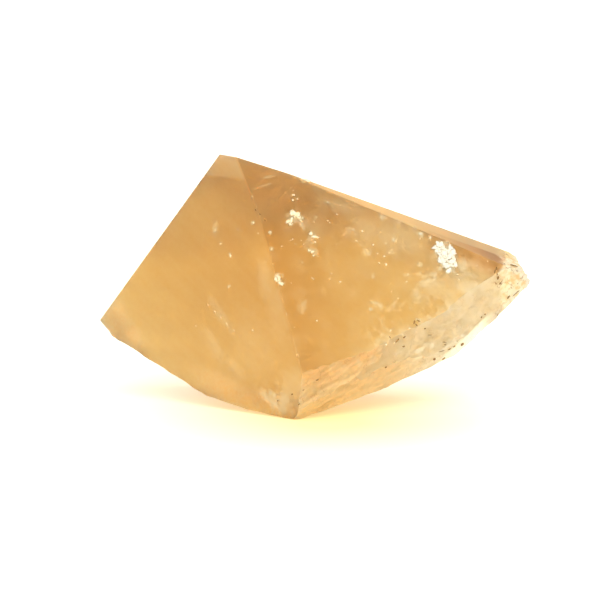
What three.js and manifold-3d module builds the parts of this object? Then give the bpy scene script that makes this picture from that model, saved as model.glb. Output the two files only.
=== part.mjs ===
// A rough topaz crystal, 60 mm long: honey-coloured, with eight natural growth faces above
// and the uneven break that freed it from its rock below. It rests on the flattest part of
// that break. Millimetres, +Z up, seen from the front along +Y with +X to the right.
import * as THREE from 'three';
import { mergeVertices } from 'three/addons/utils/BufferGeometryUtils.js';
import Module from 'manifold-3d';

const wasm = await Module();
wasm.setup();

// The heart is a point near the middle of the crystal, and every face is laid out from it,
// as a goniometer does: heading and tilt give the direction the face looks, in degrees
// (heading anticlockwise from +X, tilt up from the horizontal), and reach is how far it
// stands from the heart.
const heartDepth = 16;
const heartHeight = 16;
const growthFaces = {
  leftFront: { heading: -126.9, tilt: 5.5, reach: 11.1 },
  rightFront: { heading: -68.2, tilt: 22.4, reach: 10.2 },
  shoulder: { heading: -72.9, tilt: 28.7, reach: 11.6 },
  brow: { heading: -27.3, tilt: 60.1, reach: 15.0 },
  top: { heading: 46.9, tilt: 66.2, reach: 13.5 },
  leftBack: { heading: 163.3, tilt: 37.3, reach: 18.8 },
  middleBack: { heading: 83.5, tilt: 29.9, reach: 18.6 },
  rightBack: { heading: 65.6, tilt: 7.6, reach: 19.1 },
};
const brokenFaces = {
  frontBand: { heading: -62.4, tilt: -0.8, reach: 14.6 },
  frontHollow: { heading: -54.2, tilt: -8.3, reach: 16.1 },
  frontFoot: { heading: -51.2, tilt: -24.0, reach: 17.7 },
  footLeft: { heading: -139.9, tilt: -75.9, reach: 18.0 },
  footRight: { heading: -25.4, tilt: -69.6, reach: 17.4 },
  underRight: { heading: -15.7, tilt: -65.6, reach: 17.8 },
  underTip: { heading: 6.1, tilt: -50.0, reach: 21.5 },
  tip: { heading: 10.8, tilt: 23.0, reach: 30.1 },
  underLeft: { heading: -152.9, tilt: -69.4, reach: 18.4 },
  keelLeft: { heading: -169.3, tilt: -59.6, reach: 19.3 },
  corner: { heading: 159.7, tilt: -45.5, reach: 23.8 },
  underBackLeft: { heading: 77.4, tilt: -41.5, reach: 15.0 },
  underBackRight: { heading: 42.5, tilt: -48.4, reach: 20.1 },
};
const restFace = { heading: 0, tilt: -90, reach: heartHeight };

// The block that the faces are cut from, and the slabs that cut them, are larger than the
// crystal, so that only the face side of a slab ever touches it.
const blockSize = 100;
const slabSize = 96;
const slabDepth = 60;

// The break is wavy. Each entry is one set of waves in it: the distance from crest to
// crest, and how far the stone rises and falls.
const breakStep = 1.6;
const breakWaves = [
  { length: 11, rise: 0.22 },
  { length: 5.2, rise: 0.12 },
];
// Cleavage leaves low treads across it, like worn stairs.
const treadWidth = 4.2;
const treadRise = 0.2;

const honey = new THREE.MeshStandardMaterial({
  name: 'topaz',
  color: 0xe0b06a,
  roughness: 0.12,
  metalness: 0,
});

function solid(geometry) {
  geometry.deleteAttribute('normal');
  geometry.deleteAttribute('uv');
  const merged = mergeVertices(geometry, 1e-5);
  return new wasm.Manifold(new wasm.Mesh({
    numProp: 3,
    vertProperties: new Float32Array(merged.attributes.position.array),
    triVerts: new Uint32Array(merged.index.array),
  }));
}

function outward({ heading, tilt }) {
  const flat = Math.cos(THREE.MathUtils.degToRad(tilt));
  const turn = THREE.MathUtils.degToRad(heading);
  return new THREE.Vector3(
    Math.cos(turn) * flat,
    Math.sin(turn) * flat,
    Math.sin(THREE.MathUtils.degToRad(tilt)),
  );
}

// Stands a slab, whose own face side is z = 0, on a crystal face.
function stand(geometry, face) {
  const direction = outward(face);
  const turn = new THREE.Quaternion().setFromUnitVectors(new THREE.Vector3(0, 0, 1), direction);
  const place = direction.multiplyScalar(face.reach);
  place.add(new THREE.Vector3(0, heartDepth, heartHeight));
  geometry.applyMatrix4(new THREE.Matrix4().compose(place, turn, new THREE.Vector3(1, 1, 1)));
  return solid(geometry);
}

function flatSlab(face) {
  const slab = new THREE.BoxGeometry(slabSize, slabSize, slabDepth);
  return stand(slab.translate(0, 0, slabDepth / 2), face);
}

// A repeatable number from -1 to 1 for each corner of a grid.
function scatter(column, row, seed) {
  const value = Math.sin(column * 127.1 + row * 311.7 + seed * 74.7) * 43758.5453;
  return 2 * (value - Math.floor(value)) - 1;
}

// Smooth waves through those numbers.
function swell(x, y, seed) {
  const column = Math.floor(x);
  const row = Math.floor(y);
  const across = THREE.MathUtils.smoothstep(x - column, 0, 1);
  const along = THREE.MathUtils.smoothstep(y - row, 0, 1);
  const near = THREE.MathUtils.lerp(
    scatter(column, row, seed), scatter(column + 1, row, seed), across);
  const far = THREE.MathUtils.lerp(
    scatter(column, row + 1, seed), scatter(column + 1, row + 1, seed), across);
  return THREE.MathUtils.lerp(near, far, along);
}

function breakHeight(x, y, seed) {
  let height = 0;
  for (const { length, rise } of breakWaves) {
    height += rise * swell(x / length, y / length, seed + length);
  }
  const tread = (y + breakWaves[0].length * swell(x / 17, y / 17, seed)) / treadWidth;
  return height + treadRise * (tread - Math.floor(tread) - 0.5);
}

function roughSlab(face, seed) {
  const steps = Math.round(slabSize / breakStep);
  const slab = new THREE.BoxGeometry(slabSize, slabSize, slabDepth, steps, steps, 1);
  slab.translate(0, 0, slabDepth / 2);
  const points = slab.attributes.position;
  for (let i = 0; i < points.count; i += 1) {
    if (Math.abs(points.getZ(i)) < breakStep / 2) {
      points.setZ(i, breakHeight(points.getX(i), points.getY(i), seed));
    }
  }
  return stand(slab, face);
}

const block = new THREE.BoxGeometry(blockSize, blockSize, blockSize);
let crystal = solid(block.translate(0, heartDepth, heartHeight));
for (const face of Object.values(growthFaces)) {
  crystal = crystal.subtract(flatSlab(face));
}
Object.values(brokenFaces).forEach((face, index) => {
  crystal = crystal.subtract(roughSlab(face, index + 1));
});
crystal = crystal.subtract(flatSlab(restFace));
// The wavy cuts leave a few crumbs at the rim of the break, so only the largest piece is kept.
crystal = crystal.decompose().reduce((a, b) => (b.volume() > a.volume() ? b : a));

const { vertProperties, triVerts } = crystal.getMesh();
const surface = new THREE.BufferGeometry();
surface.setAttribute('position', new THREE.BufferAttribute(vertProperties, 3));
surface.setIndex(new THREE.BufferAttribute(triVerts, 1));
surface.computeBoundingBox();

// The origin is the middle of the footprint, on the surface that the crystal stands on.
const { min, max } = surface.boundingBox;
surface.translate(-(min.x + max.x) / 2, -(min.y + max.y) / 2, -min.z);
surface.computeVertexNormals();

const topaz = new THREE.Mesh(surface, honey);
topaz.name = 'topaz_crystal';

const group = new THREE.Group();
group.add(topaz);

export default group;
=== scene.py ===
# %% [markdown]
# # A rough topaz crystal
#
# This notebook dresses one natural crystal: a honey-coloured topaz, 60 mm long, that grew with
# flat faces above and was broken from its rock below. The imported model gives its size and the
# place of every face. Here it gets its broken skin, its cloudy inside and its light.
# Everything is in metres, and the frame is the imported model's own.

# %% Load the frame
import math

import bmesh
import bpy
import numpy as np
from mathutils import Matrix, Vector
from mathutils.bvhtree import BVHTree


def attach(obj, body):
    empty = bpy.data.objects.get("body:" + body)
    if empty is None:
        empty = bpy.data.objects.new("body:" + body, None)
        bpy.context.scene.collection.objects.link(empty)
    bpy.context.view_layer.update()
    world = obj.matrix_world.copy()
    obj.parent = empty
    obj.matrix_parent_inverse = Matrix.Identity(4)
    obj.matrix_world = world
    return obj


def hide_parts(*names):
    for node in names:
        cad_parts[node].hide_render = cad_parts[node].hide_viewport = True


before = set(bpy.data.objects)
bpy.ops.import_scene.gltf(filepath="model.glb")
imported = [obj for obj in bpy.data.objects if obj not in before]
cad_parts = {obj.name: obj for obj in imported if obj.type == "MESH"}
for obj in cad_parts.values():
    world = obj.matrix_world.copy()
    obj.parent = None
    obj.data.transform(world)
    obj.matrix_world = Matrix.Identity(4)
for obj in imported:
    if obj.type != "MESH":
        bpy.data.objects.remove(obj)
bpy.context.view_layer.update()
MM = 0.001

# %% [markdown]
# ## The faces
#
# A crystal is described best by its faces. Each one is given as a goniometer reads it: the
# heading it looks in, the tilt above level, and how far it stands from the heart, a point near
# the middle. Eight faces grew, and the others are the sides of the break. A fitted heart and a
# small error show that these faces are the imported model's.

# %% Face table, and the heart found from the model
GROWTH_FACES = {
    "left_front": (-126.9, 5.5, 11.1),
    "right_front": (-68.2, 22.4, 10.2),
    "shoulder": (-72.9, 28.7, 11.6),
    "brow": (-27.3, 60.1, 15.0),
    "top": (46.9, 66.2, 13.5),
    "left_back": (163.3, 37.3, 18.8),
    "middle_back": (83.5, 29.9, 18.6),
    "right_back": (65.6, 7.6, 19.1),
}
BROKEN_FACES = {
    "front_band": (-62.4, -0.8, 14.6),
    "front_hollow": (-54.2, -8.3, 16.1),
    "front_foot": (-51.2, -24.0, 17.7),
    "foot_left": (-139.9, -75.9, 18.0),
    "foot_right": (-25.4, -69.6, 17.4),
    "under_right": (-15.7, -65.6, 17.8),
    "under_tip": (6.1, -50.0, 21.5),
    "tip": (10.8, 23.0, 30.1),
    "under_left": (-152.9, -69.4, 18.4),
    "keel_left": (-169.3, -59.6, 19.3),
    "corner": (159.7, -45.5, 23.8),
    "under_back_left": (77.4, -41.5, 15.0),
    "under_back_right": (42.5, -48.4, 20.1),
}


def outward(face):
    """The direction a face looks in."""
    heading, tilt = math.radians(face[0]), math.radians(face[1])
    flat = math.cos(tilt)
    return np.array([math.cos(heading) * flat, math.sin(heading) * flat, math.sin(tilt)])


cad_points = np.array([vertex.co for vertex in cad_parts["topaz_crystal"].data.vertices])
growth_ways = np.array([outward(face) for face in GROWTH_FACES.values()])
growth_reach = np.array([face[2] * MM for face in GROWTH_FACES.values()])
standing = (cad_points @ growth_ways.T).max(axis=0)
heart = np.linalg.lstsq(growth_ways, standing - growth_reach, rcond=None)[0]
misfit = np.abs(growth_ways @ heart + growth_reach - standing).max()
print("heart in mm:", (heart / MM).round(2), " largest error in mm:", round(misfit / MM, 4))

# %% Planes as a direction and a distance from the origin


def plane_of(face, proud=0.0):
    """A face's plane, moved outward by proud."""
    way = outward(face)
    return way, way @ heart + face[2] * MM + proud


floor_plane = (np.array([0.0, 0.0, -1.0]), 0.0)
planes = {name: plane_of(face) for name, face in {**GROWTH_FACES, **BROKEN_FACES}.items()}

# %% [markdown]
# ## The blank
#
# A block is cut by every plane in turn. The growth faces are cut where they belong, and the
# broken ones a little too far out, because the rough skin is cut into that spare stone later.
# The edges where growth faces meet are rounded very slightly: even a sharp crystal has a
# hair-thin worn edge, and it is what catches the light.

# %% Cut the blank
SPARE = 1.3 * MM
EDGE_WEAR = 0.07 * MM
BLOCK = 0.2
SAME_WAY = 0.9999


def cut_away(bm, plane):
    """Removes what stands in front of a plane and closes the cut."""
    way, distance = plane
    everything = bm.verts[:] + bm.edges[:] + bm.faces[:]
    bmesh.ops.bisect_plane(
        bm, geom=everything, dist=1e-7, plane_co=way * distance, plane_no=way, clear_outer=True
    )
    rim = [edge for edge in bm.edges if edge.is_boundary]
    bmesh.ops.holes_fill(bm, edges=rim, sides=0)


def is_on(face, plane):
    """True where a face looks the way the plane does."""
    return np.dot(face.normal, plane[0]) > SAME_WAY


def wear_edges(bm, worn_planes, width):
    """Rounds the edges where two of these planes meet, and returns how many there are."""
    bm.normal_update()
    edges = [
        edge for edge in bm.edges
        if all(any(is_on(face, plane) for plane in worn_planes) for face in edge.link_faces)
    ]
    bmesh.ops.bevel(bm, geom=edges, offset=width, segments=2, profile=0.5, affect="EDGES")
    return len(edges)


def block_cut_by(cutting_planes):
    """A block with everything in front of these planes cut away."""
    bm = bmesh.new()
    bmesh.ops.create_cube(bm, size=BLOCK)
    for plane in cutting_planes:
        cut_away(bm, plane)
    bmesh.ops.recalc_face_normals(bm, faces=bm.faces[:])
    bm.normal_update()
    return bm


grown_planes = [planes[name] for name in GROWTH_FACES]
spare_planes = [plane_of(face, SPARE) for face in BROKEN_FACES.values()]
exact = block_cut_by([*planes.values(), floor_plane])
face_corners = {
    name: np.array([corner.co for corner in face.verts])
    for name, plane in planes.items() for face in exact.faces if is_on(face, plane)
}
exact.free()
blank = block_cut_by([*grown_planes, *spare_planes, floor_plane])
worn = wear_edges(blank, grown_planes, EDGE_WEAR)
print("blank:", len(face_corners), "faces with a plane,", worn, "edges worn")

# %% [markdown]
# ## Chips
#
# A brittle stone that has lain loose loses small chips from its edges, most of them near the
# break. They could be painted as pale dots, but a real chip dents the outline and catches the
# light. So each one is a crooked ball that will be cut out of the edge where two faces meet.
# Every edge has its own number of chips and its own sizes, because sharp edges suffer more.

# %% Which edges are chipped
# How many chips sit on the edge that two faces share, and their least and greatest size in mm.
CHIPPED_EDGES = {
    ("left_front", "right_front"): (9, 0.2, 0.55),
    ("left_front", "shoulder"): (5, 0.2, 0.45),
    ("right_front", "shoulder"): (3, 0.2, 0.35),
    ("right_front", "brow"): (9, 0.2, 0.5),
    ("brow", "top"): (9, 0.2, 0.6),
    ("left_front", "left_back"): (6, 0.2, 0.5),
    ("left_back", "top"): (6, 0.2, 0.6),
    ("middle_back", "top"): (5, 0.2, 0.6),
    ("left_back", "middle_back"): (6, 0.2, 0.6),
    ("tip", "brow"): (9, 0.6, 1.5),
    ("tip", "top"): (6, 0.6, 1.5),
    ("tip", "front_hollow"): (8, 0.6, 1.6),
    ("tip", "under_tip"): (6, 0.6, 1.6),
    ("front_hollow", "brow"): (6, 0.4, 1.0),
    ("front_hollow", "under_tip"): (12, 0.4, 1.1),
    ("front_hollow", "front_foot"): (8, 0.4, 1.0),
}
TOUCH = 1e-6

# %% Chips along the worn edges


def shared_edge(one, other):
    """The ends of the edge where two faces meet."""
    corners = face_corners[other]
    ends = [end for end in face_corners[one] if np.linalg.norm(corners - end, axis=1).min() < TOUCH]
    return (ends[0], ends[1]) if len(ends) == 2 else None


def chip_tool(name, centre, size, rng):
    """A crooked ball, about size wide, that takes a chip out of an edge."""
    bm = bmesh.new()
    bmesh.ops.create_icosphere(bm, subdivisions=2, radius=size / 2)
    stretch = rng.uniform(0.6, 1.3, 3)
    for vertex in bm.verts:
        crooked = np.array(vertex.co) * stretch * rng.uniform(0.8, 1.15)
        vertex.co = centre + crooked
    mesh = bpy.data.meshes.new(name)
    bm.to_mesh(mesh)
    bm.free()
    return mesh


rng = np.random.default_rng(5)
chip_meshes = []
for (one, other), (count, least, greatest) in CHIPPED_EDGES.items():
    ends = shared_edge(one, other)
    for number in range(count if ends else 0):
        share = (number + rng.uniform(0.1, 0.9)) / count
        size = rng.uniform(least, greatest) * MM
        lift = (planes[one][0] + planes[other][0]) * size * rng.uniform(0.05, 0.2)
        centre = ends[0] + (ends[1] - ends[0]) * share + lift
        chip_meshes.append(chip_tool(f"chip_{len(chip_meshes)}", centre, size, rng))
print("chips:", len(chip_meshes))
print("edges with no chips:", [pair for pair in CHIPPED_EDGES if shared_edge(*pair) is None])

# %% [markdown]
# ## The rough skin of the break
#
# Topaz breaks in two ways at once: in shells, like thick glass, and in flat treads where it
# cleaves. So the skin is a height over each broken plane, and five things add up in it: slow
# waves, low treads, shallow shells with sharp ridges between them, long streaks and fine crushed
# stone. A bump texture would be quicker, but it leaves the outline smooth. Here the heights are
# geometry.

# %% Waves
LATTICE = 64


def swell(x, y, seed):
    """Smooth random waves from -1 to 1, one lattice step long."""
    corners = np.random.default_rng(seed).uniform(-1, 1, (LATTICE, LATTICE))
    column, row = np.floor(x).astype(int), np.floor(y).astype(int)
    s, t = x - column, y - row
    s, t = s * s * (3 - 2 * s), t * t * (3 - 2 * t)
    near = corners[column % LATTICE, row % LATTICE] * (1 - s)
    near += corners[(column + 1) % LATTICE, row % LATTICE] * s
    far = corners[column % LATTICE, (row + 1) % LATTICE] * (1 - s)
    far += corners[(column + 1) % LATTICE, (row + 1) % LATTICE] * s
    return near * (1 - t) + far * t


# %% Treads, streaks and shells
# Sizes and places are in mm here, and turns in degrees.
MEANDER = 17.0
TREAD, RISER = 0.86, 0.14
STREAK_TURN = 32.0
STREAK_SIZE = (4.5, 0.8)
HIGHEST_RIDGE = 1.4


def turned(x, y, degrees):
    """The coordinates of a point, turned anticlockwise about the origin."""
    c, s = math.cos(math.radians(degrees)), math.sin(math.radians(degrees))
    return x * c - y * s, x * s + y * c


def treads(x, y, width, seed):
    """A worn stair of unit rise that climbs along y, from -0.5 to 0.5."""
    step = (y + 0.9 * width * swell(x / MEANDER, y / MEANDER, seed)) / width
    part = step - np.floor(step)
    return np.where(part < TREAD, part / TREAD, (1 - part) / RISER) - 0.5


def streaks(x, y, seed):
    """Long low ridges that run up to the right, sharp at the top, from 0 to 1."""
    along, across = turned(x, y, -STREAK_TURN)
    return 1 - np.abs(swell(along / STREAK_SIZE[0], across / STREAK_SIZE[1], seed))


def shells(x, y, size, seed):
    """Shallow bowls side by side: 0 at the bottom of each, and highest on the ridges between."""
    rng = np.random.default_rng(seed)
    low, high = np.array([x.min(), y.min()]), np.array([x.max(), y.max()])
    count = max(4, int(np.prod(high - low) / size**2))
    centres = rng.uniform(low - size / 2, high + size / 2, (count, 2))
    stretch = rng.uniform(0.7, 1.5, count)
    nearest = np.full(x.shape, 1e9)
    for (a, b), longer in zip(centres, stretch):
        nearest = np.minimum(nearest, ((x - a) / longer) ** 2 + ((y - b) * longer) ** 2)
    return np.clip(nearest / (0.5 * size**2), 0, HIGHEST_RIDGE)


# %% Which skin each broken face has
# Heights and sizes in mm: waves, cleavage treads, shells and their size, streaks, crushed grain,
# and the cell, which is the distance from point to point. The bruise is how much of the skin is
# whitened by fine cracks: on the whole, on the ridges, and on the ledge towards the tip. Rust is
# how orange that white is, and cracks is how many dark ones show.
PLAIN = dict(waves=0.1, treads=0.05, shells=0.08, shell_size=3.2, streaks=0.02, crush=0.02,
             cell=0.28, bruise=(0.05, 0.3, 0.0), rust=0.8, cracks=0.2)
CRUSHED = dict(waves=0.1, treads=0.04, shells=0.06, shell_size=1.3, streaks=0.08, crush=0.05,
               cell=0.16, bruise=(0.78, 0.95, 0.0), rust=0.5, cracks=0.45)
HOLLOW = dict(waves=0.1, treads=0.0, shells=0.3, shell_size=6.5, streaks=0.03, crush=0.015,
              cell=0.2, bruise=(0.52, 0.65, 0.05), rust=0.1, cracks=0.2)
STREAKED = dict(waves=0.12, treads=0.06, shells=0.06, shell_size=2.2, streaks=0.09, crush=0.04,
                cell=0.16, bruise=(0.85, 1.0, 0.1), rust=0.7, cracks=0.4)
CRUMBLED = dict(waves=0.2, treads=0.16, shells=0.36, shell_size=1.3, streaks=0.12, crush=0.22,
                cell=0.14, bruise=(0.75, 1.0, 0.0), rust=0.0, cracks=1.0)
CORNERED = dict(PLAIN, bruise=(0.5, 0.8, 0.0))
SKINS = {
    "corner": CORNERED,
    "foot_left": CORNERED,
    "front_band": CRUSHED,
    "front_hollow": HOLLOW,
    "front_foot": STREAKED,
    "under_tip": STREAKED,
    "tip": CRUMBLED,
}

# %% The height of the skin
LONG_WAVE, SHORT_WAVE = 9.0, 3.7
TREAD_WIDTH = 3.6
COARSE_GRAIN, FINE_GRAIN = 0.9, 0.42
SHELL_MIDDLE, STREAK_MIDDLE = 0.6, 0.75


def skin_height(x, y, skin, seed):
    """How far the stone stands above the broken plane, in mm, at points in mm."""
    height = skin["waves"] * swell(x / LONG_WAVE, y / LONG_WAVE, seed)
    height += skin["waves"] * 0.5 * swell(x / SHORT_WAVE, y / SHORT_WAVE, seed + 1)
    height += skin["treads"] * treads(x, y, TREAD_WIDTH, seed + 2)
    height += skin["shells"] * (shells(x, y, skin["shell_size"], seed + 3) - SHELL_MIDDLE)
    height += skin["streaks"] * (streaks(x, y, seed + 6) - STREAK_MIDDLE)
    height += skin["crush"] * swell(x / COARSE_GRAIN, y / COARSE_GRAIN, seed + 4)
    height += skin["crush"] * 0.7 * swell(x / FINE_GRAIN, y / FINE_GRAIN, seed + 5)
    return height


# %% [markdown]
# ## Cutting the break
#
# The skin could be laid on the blank as one displaced sheet, but then its corners would smear.
# Instead, each broken face has a slab whose near side is its skin turned inside out, and the
# slabs are taken away from the blank one by one, as a mason would dress a block. Where two skins
# meet they leave a crisp, crooked edge, and the result is always closed.

# %% One cutting slab
# How far a slab reaches past its face, and how thick it is, in mm.
MARGIN = 4.0
SLAB_DEPTH = 6.0


def face_axes(way):
    """Two directions in a plane that looks along way: level, and uphill."""
    level = np.cross([0.0, 0.0, 1.0], way)
    level /= np.linalg.norm(level)
    return level, np.cross(way, level)


def slab_mesh(name, corners, plane, skin, seed):
    """A slab in front of a broken face, whose near side is the skin turned inside out."""
    way, distance = plane
    level, uphill = face_axes(way)
    flat = np.stack([corners @ level, corners @ uphill], axis=1) / MM
    low, high = flat.min(axis=0) - MARGIN, flat.max(axis=0) + MARGIN
    columns, rows = np.ceil((high - low) / skin["cell"]).astype(int) + 1
    x, y = np.meshgrid(np.linspace(low[0], high[0], columns),
                       np.linspace(low[1], high[1], rows), indexing="ij")
    height = distance / MM + skin_height(x, y, skin, seed)
    near = (x[..., None] * level + y[..., None] * uphill + height[..., None] * way) * MM
    near = near.reshape(-1, 3)
    order = np.arange(columns * rows).reshape(columns, rows)
    quads = np.stack([order[:-1, :-1], order[:-1, 1:], order[1:, 1:], order[1:, :-1]], axis=-1)
    ring = np.concatenate([order[:-1, 0], order[-1, :-1], order[:0:-1, -1], order[0, :0:-1]])
    outside = near[ring] + np.outer(distance + SLAB_DEPTH * MM - near[ring] @ way, way)
    far = np.arange(len(ring)) + len(near)
    walls = np.stack([np.roll(ring, -1), np.roll(far, -1), far, ring], axis=1)
    faces = quads.reshape(-1, 4).tolist() + walls.tolist() + [far.tolist()]
    mesh = bpy.data.meshes.new(name)
    mesh.from_pydata(np.vstack([near, outside]).tolist(), [], faces)
    return mesh


# %% All the slabs


def new_object(name, mesh):
    made = bpy.data.objects.new(name, mesh)
    bpy.context.scene.collection.objects.link(made)
    return made


def closed_outward(mesh):
    """Turns every face of a closed mesh outward."""
    bm = bmesh.new()
    bm.from_mesh(mesh)
    bmesh.ops.recalc_face_normals(bm, faces=bm.faces[:])
    bm.to_mesh(mesh)
    bm.free()


cutters = []
for number, name in enumerate(BROKEN_FACES):
    skin = SKINS.get(name, PLAIN)
    mesh = slab_mesh("cut_" + name, face_corners[name], planes[name], skin, 10 * number + 10)
    closed_outward(mesh)
    cutters.append(new_object("cut_" + name, mesh))
print(len(cutters), "slabs with", sum(len(c.data.polygons) for c in cutters), "faces")

# %% Cut the skin
# The material index of a face says which cut made it: 0 is a grown face, each slab has its own
# number, and the chips share the last one.
CHIP_PLACE = len(BROKEN_FACES) + 1


def give_places(mesh, place):
    """Gives a mesh all the material places, and its faces this one."""
    for index in range(CHIP_PLACE + 1):
        mesh.materials.append(bpy.data.materials.new(f"place_{index}"))
    mesh.polygons.foreach_set("material_index", [place] * len(mesh.polygons))


def cut_with(target, tools):
    """Cuts each tool out of the target in turn and returns the new mesh."""
    for tool in tools:
        cut = target.modifiers.new(tool.name, "BOOLEAN")
        cut.operation = "DIFFERENCE"
        cut.solver = "MANIFOLD"
        cut.object = tool
    depsgraph = bpy.context.evaluated_depsgraph_get()
    return bpy.data.meshes.new_from_object(target.evaluated_get(depsgraph))


blank_mesh = bpy.data.meshes.new("topaz_blank")
blank.to_mesh(blank_mesh)
blank.free()
give_places(blank_mesh, 0)
for place, cutter in enumerate(cutters, start=1):
    give_places(cutter.data, place)
chips = []
for chip_mesh in chip_meshes:
    give_places(chip_mesh, CHIP_PLACE)
    chips.append(new_object(chip_mesh.name, chip_mesh))
blank_object = new_object("topaz_blank", blank_mesh)
crystal_mesh = cut_with(blank_object, [*chips, *cutters])
crystal_mesh.name = "topaz"
for spent in [blank_object, *chips, *cutters]:
    bpy.data.objects.remove(spent)
print("cut crystal:", len(crystal_mesh.polygons), "faces")

# %% [markdown]
# ## Marks on the skin
#
# Broken topaz is whitened wherever fine cracks scatter the light, and iron water has left an
# orange tinge in some of them. How white, how orange and how cracked the skin is could be
# painted by hand. Here it follows from the cut that made each face, from how high the skin
# stands and from how near the tip it is, and it is stored on the corners of the mesh. The
# material reads those numbers later.

# %% The parts of a cut mesh


def islands(bm):
    """The separate bodies of a mesh, as sets of vertices, the largest first."""
    waiting = set(bm.verts)
    found = []
    while waiting:
        body, front = set(), [waiting.pop()]
        while front:
            vertex = front.pop()
            body.add(vertex)
            fresh = {edge.other_vert(vertex) for edge in vertex.link_edges} & waiting
            waiting -= fresh
            front.extend(fresh)
        found.append(body)
    return sorted(found, key=len, reverse=True)


# %% How white, how orange and how cracked the skin is
CHIP_BRUISE = 0.5
CRUMBLY_BRUISE = 0.9
RIDGE_HEIGHT = 0.25 * MM
# Where each begins and where it is full, in m from the heart towards the tip.
LEDGE = (13.5 * MM, 19.5 * MM)
CRUMBLY_TIP = (27.8 * MM, 29.0 * MM)


def skin_of(place):
    return SKINS.get(list(BROKEN_FACES)[place - 1], PLAIN)


def toward_tip(point, start, full):
    """0 up to start, counted from the heart, and 1 from full."""
    return np.clip((point[0] - heart[0] - start) / (full - start), 0, 1)


def bruise_at(point, place):
    """How whitened the skin is: a little everywhere, and most on its ridges and its ledge."""
    if place == CHIP_PLACE:
        return CHIP_BRUISE
    name = list(BROKEN_FACES)[place - 1]
    way, distance = planes[name]
    overall, ridges, ledge = skin_of(place)["bruise"]
    ridge = np.clip((way @ np.array(point) - distance) / RIDGE_HEIGHT, 0, 1)
    whitened = overall + (ridges - overall) * ridge + ledge * toward_tip(point, *LEDGE)
    return min(1.0, max(whitened, CRUMBLY_BRUISE * toward_tip(point, *CRUMBLY_TIP)))


def rust_at(point, place):
    """How orange the whitened skin is: least on the ledge."""
    if place == CHIP_PLACE:
        return 0.0
    skin = skin_of(place)
    return skin["rust"] * (1 - toward_tip(point, *LEDGE) * (skin["bruise"][2] > 0))


def cracks_at(point, place):
    """How many dark cracks show: most in the crumbly tip."""
    if point[0] - heart[0] > CRUMBLY_TIP[0]:
        return 1.0
    return 0.0 if place == CHIP_PLACE else skin_of(place)["cracks"]


# %% Keep the crystal and mark its skin
# A cut can leave crumbs at the rim, and they aren't part of the crystal.
SHARP = math.radians(50)
MERGED = 2e-6
THINNEST = 1e-6
SKIN_MARKS = ("broken", "bruise", "rust", "cracks")


def mark_skin(mesh):
    """Keeps the largest body and writes what its skin is like on the corners of its faces."""
    bm = bmesh.new()
    bm.from_mesh(mesh)
    bmesh.ops.remove_doubles(bm, verts=bm.verts[:], dist=MERGED)
    bmesh.ops.dissolve_degenerate(bm, dist=THINNEST, edges=bm.edges[:])
    crumbs = [vertex for body in islands(bm)[1:] for vertex in body]
    bmesh.ops.delete(bm, geom=crumbs, context="VERTS")
    bmesh.ops.recalc_face_normals(bm, faces=bm.faces[:])
    for name in SKIN_MARKS:
        bm.loops.layers.float.new(name)
    broken, bruise, rust, cracks = [bm.loops.layers.float[name] for name in SKIN_MARKS]
    for edge in bm.edges:
        grown = [face.material_index == 0 for face in edge.link_faces]
        edge.smooth = edge.calc_face_angle(0.0) < SHARP and len(set(grown)) == 1
    for face in bm.faces:
        face.smooth = True
        for corner in face.loops:
            corner[broken] = float(face.material_index > 0)
            if face.material_index > 0:
                corner[bruise] = bruise_at(corner.vert.co, face.material_index)
                corner[rust] = rust_at(corner.vert.co, face.material_index)
                corner[cracks] = cracks_at(corner.vert.co, face.material_index)
        face.material_index = 0
    facts = len(crumbs), sum(not edge.is_manifold for edge in bm.edges), bm.calc_volume()
    bm.to_mesh(mesh)
    bm.free()
    return facts


crumbs, open_edges, volume = mark_skin(crystal_mesh)
print("crumb points", crumbs, " open edges", open_edges, " volume in cm3", round(volume * 1e6, 2))
crystal_mesh.materials.clear()
topaz = new_object("topaz", crystal_mesh)

# %% [markdown]
# ## The camera
#
# The crystal is seen from the front and a little above, through a long lens, so that its edges
# stay as straight and as parallel as they are. The camera comes before the inclusions because
# each of them is placed behind a spot of this front view.

# %% Camera
VIEW_WIDTH = 84 * MM
LENS = 400.0
SENSOR = 36.0
CAMERA_TILT = math.radians(10)
AIM = heart + np.array([0.56, 2.01, -2.40]) * MM

view_right = np.array([1.0, 0.0, 0.0])
view_ahead = np.array([0.0, math.cos(CAMERA_TILT), -math.sin(CAMERA_TILT)])
view_up = np.cross(view_right, view_ahead)
eye = AIM - view_ahead * (VIEW_WIDTH * LENS / SENSOR)

camera = bpy.data.objects.new("camera", bpy.data.cameras.new("camera"))
bpy.context.scene.collection.objects.link(camera)
bpy.context.scene.camera = camera
camera.data.lens = LENS
camera.data.sensor_width = SENSOR
camera.location = eye
camera.rotation_mode = "QUATERNION"
camera.rotation_quaternion = Vector(view_ahead).to_track_quat("-Z", "Y")
camera.data.clip_start = 0.05
camera.data.clip_end = 20
print("camera stands", round(VIEW_WIDTH * LENS / SENSOR, 3), "m away")

# %% [markdown]
# ## What is sealed in the stone
#
# The crystal isn't empty glass. Air has crept into small cracks below its faces, and they shine
# like flakes of foil. Older cracks have healed and left veils of tiny bubbles. Each one is
# placed by where it shows in the front view and how deep it lies, and the way light bends as
# it enters topaz is allowed for. Bright spots in the material would look flat, so each flake is
# a thin closed body of its own that the light in the stone can reach.

# %% Helpers to place things behind the front view
TOPAZ_IOR = 1.62
crystal_tree = BVHTree.FromObject(topaz, bpy.context.evaluated_depsgraph_get())


def sight_line(across, up):
    """The direction from the eye through a spot of the front view, in mm from its middle."""
    line = AIM + (view_right * across + view_up * up) * MM - eye
    return line / np.linalg.norm(line)


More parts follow.
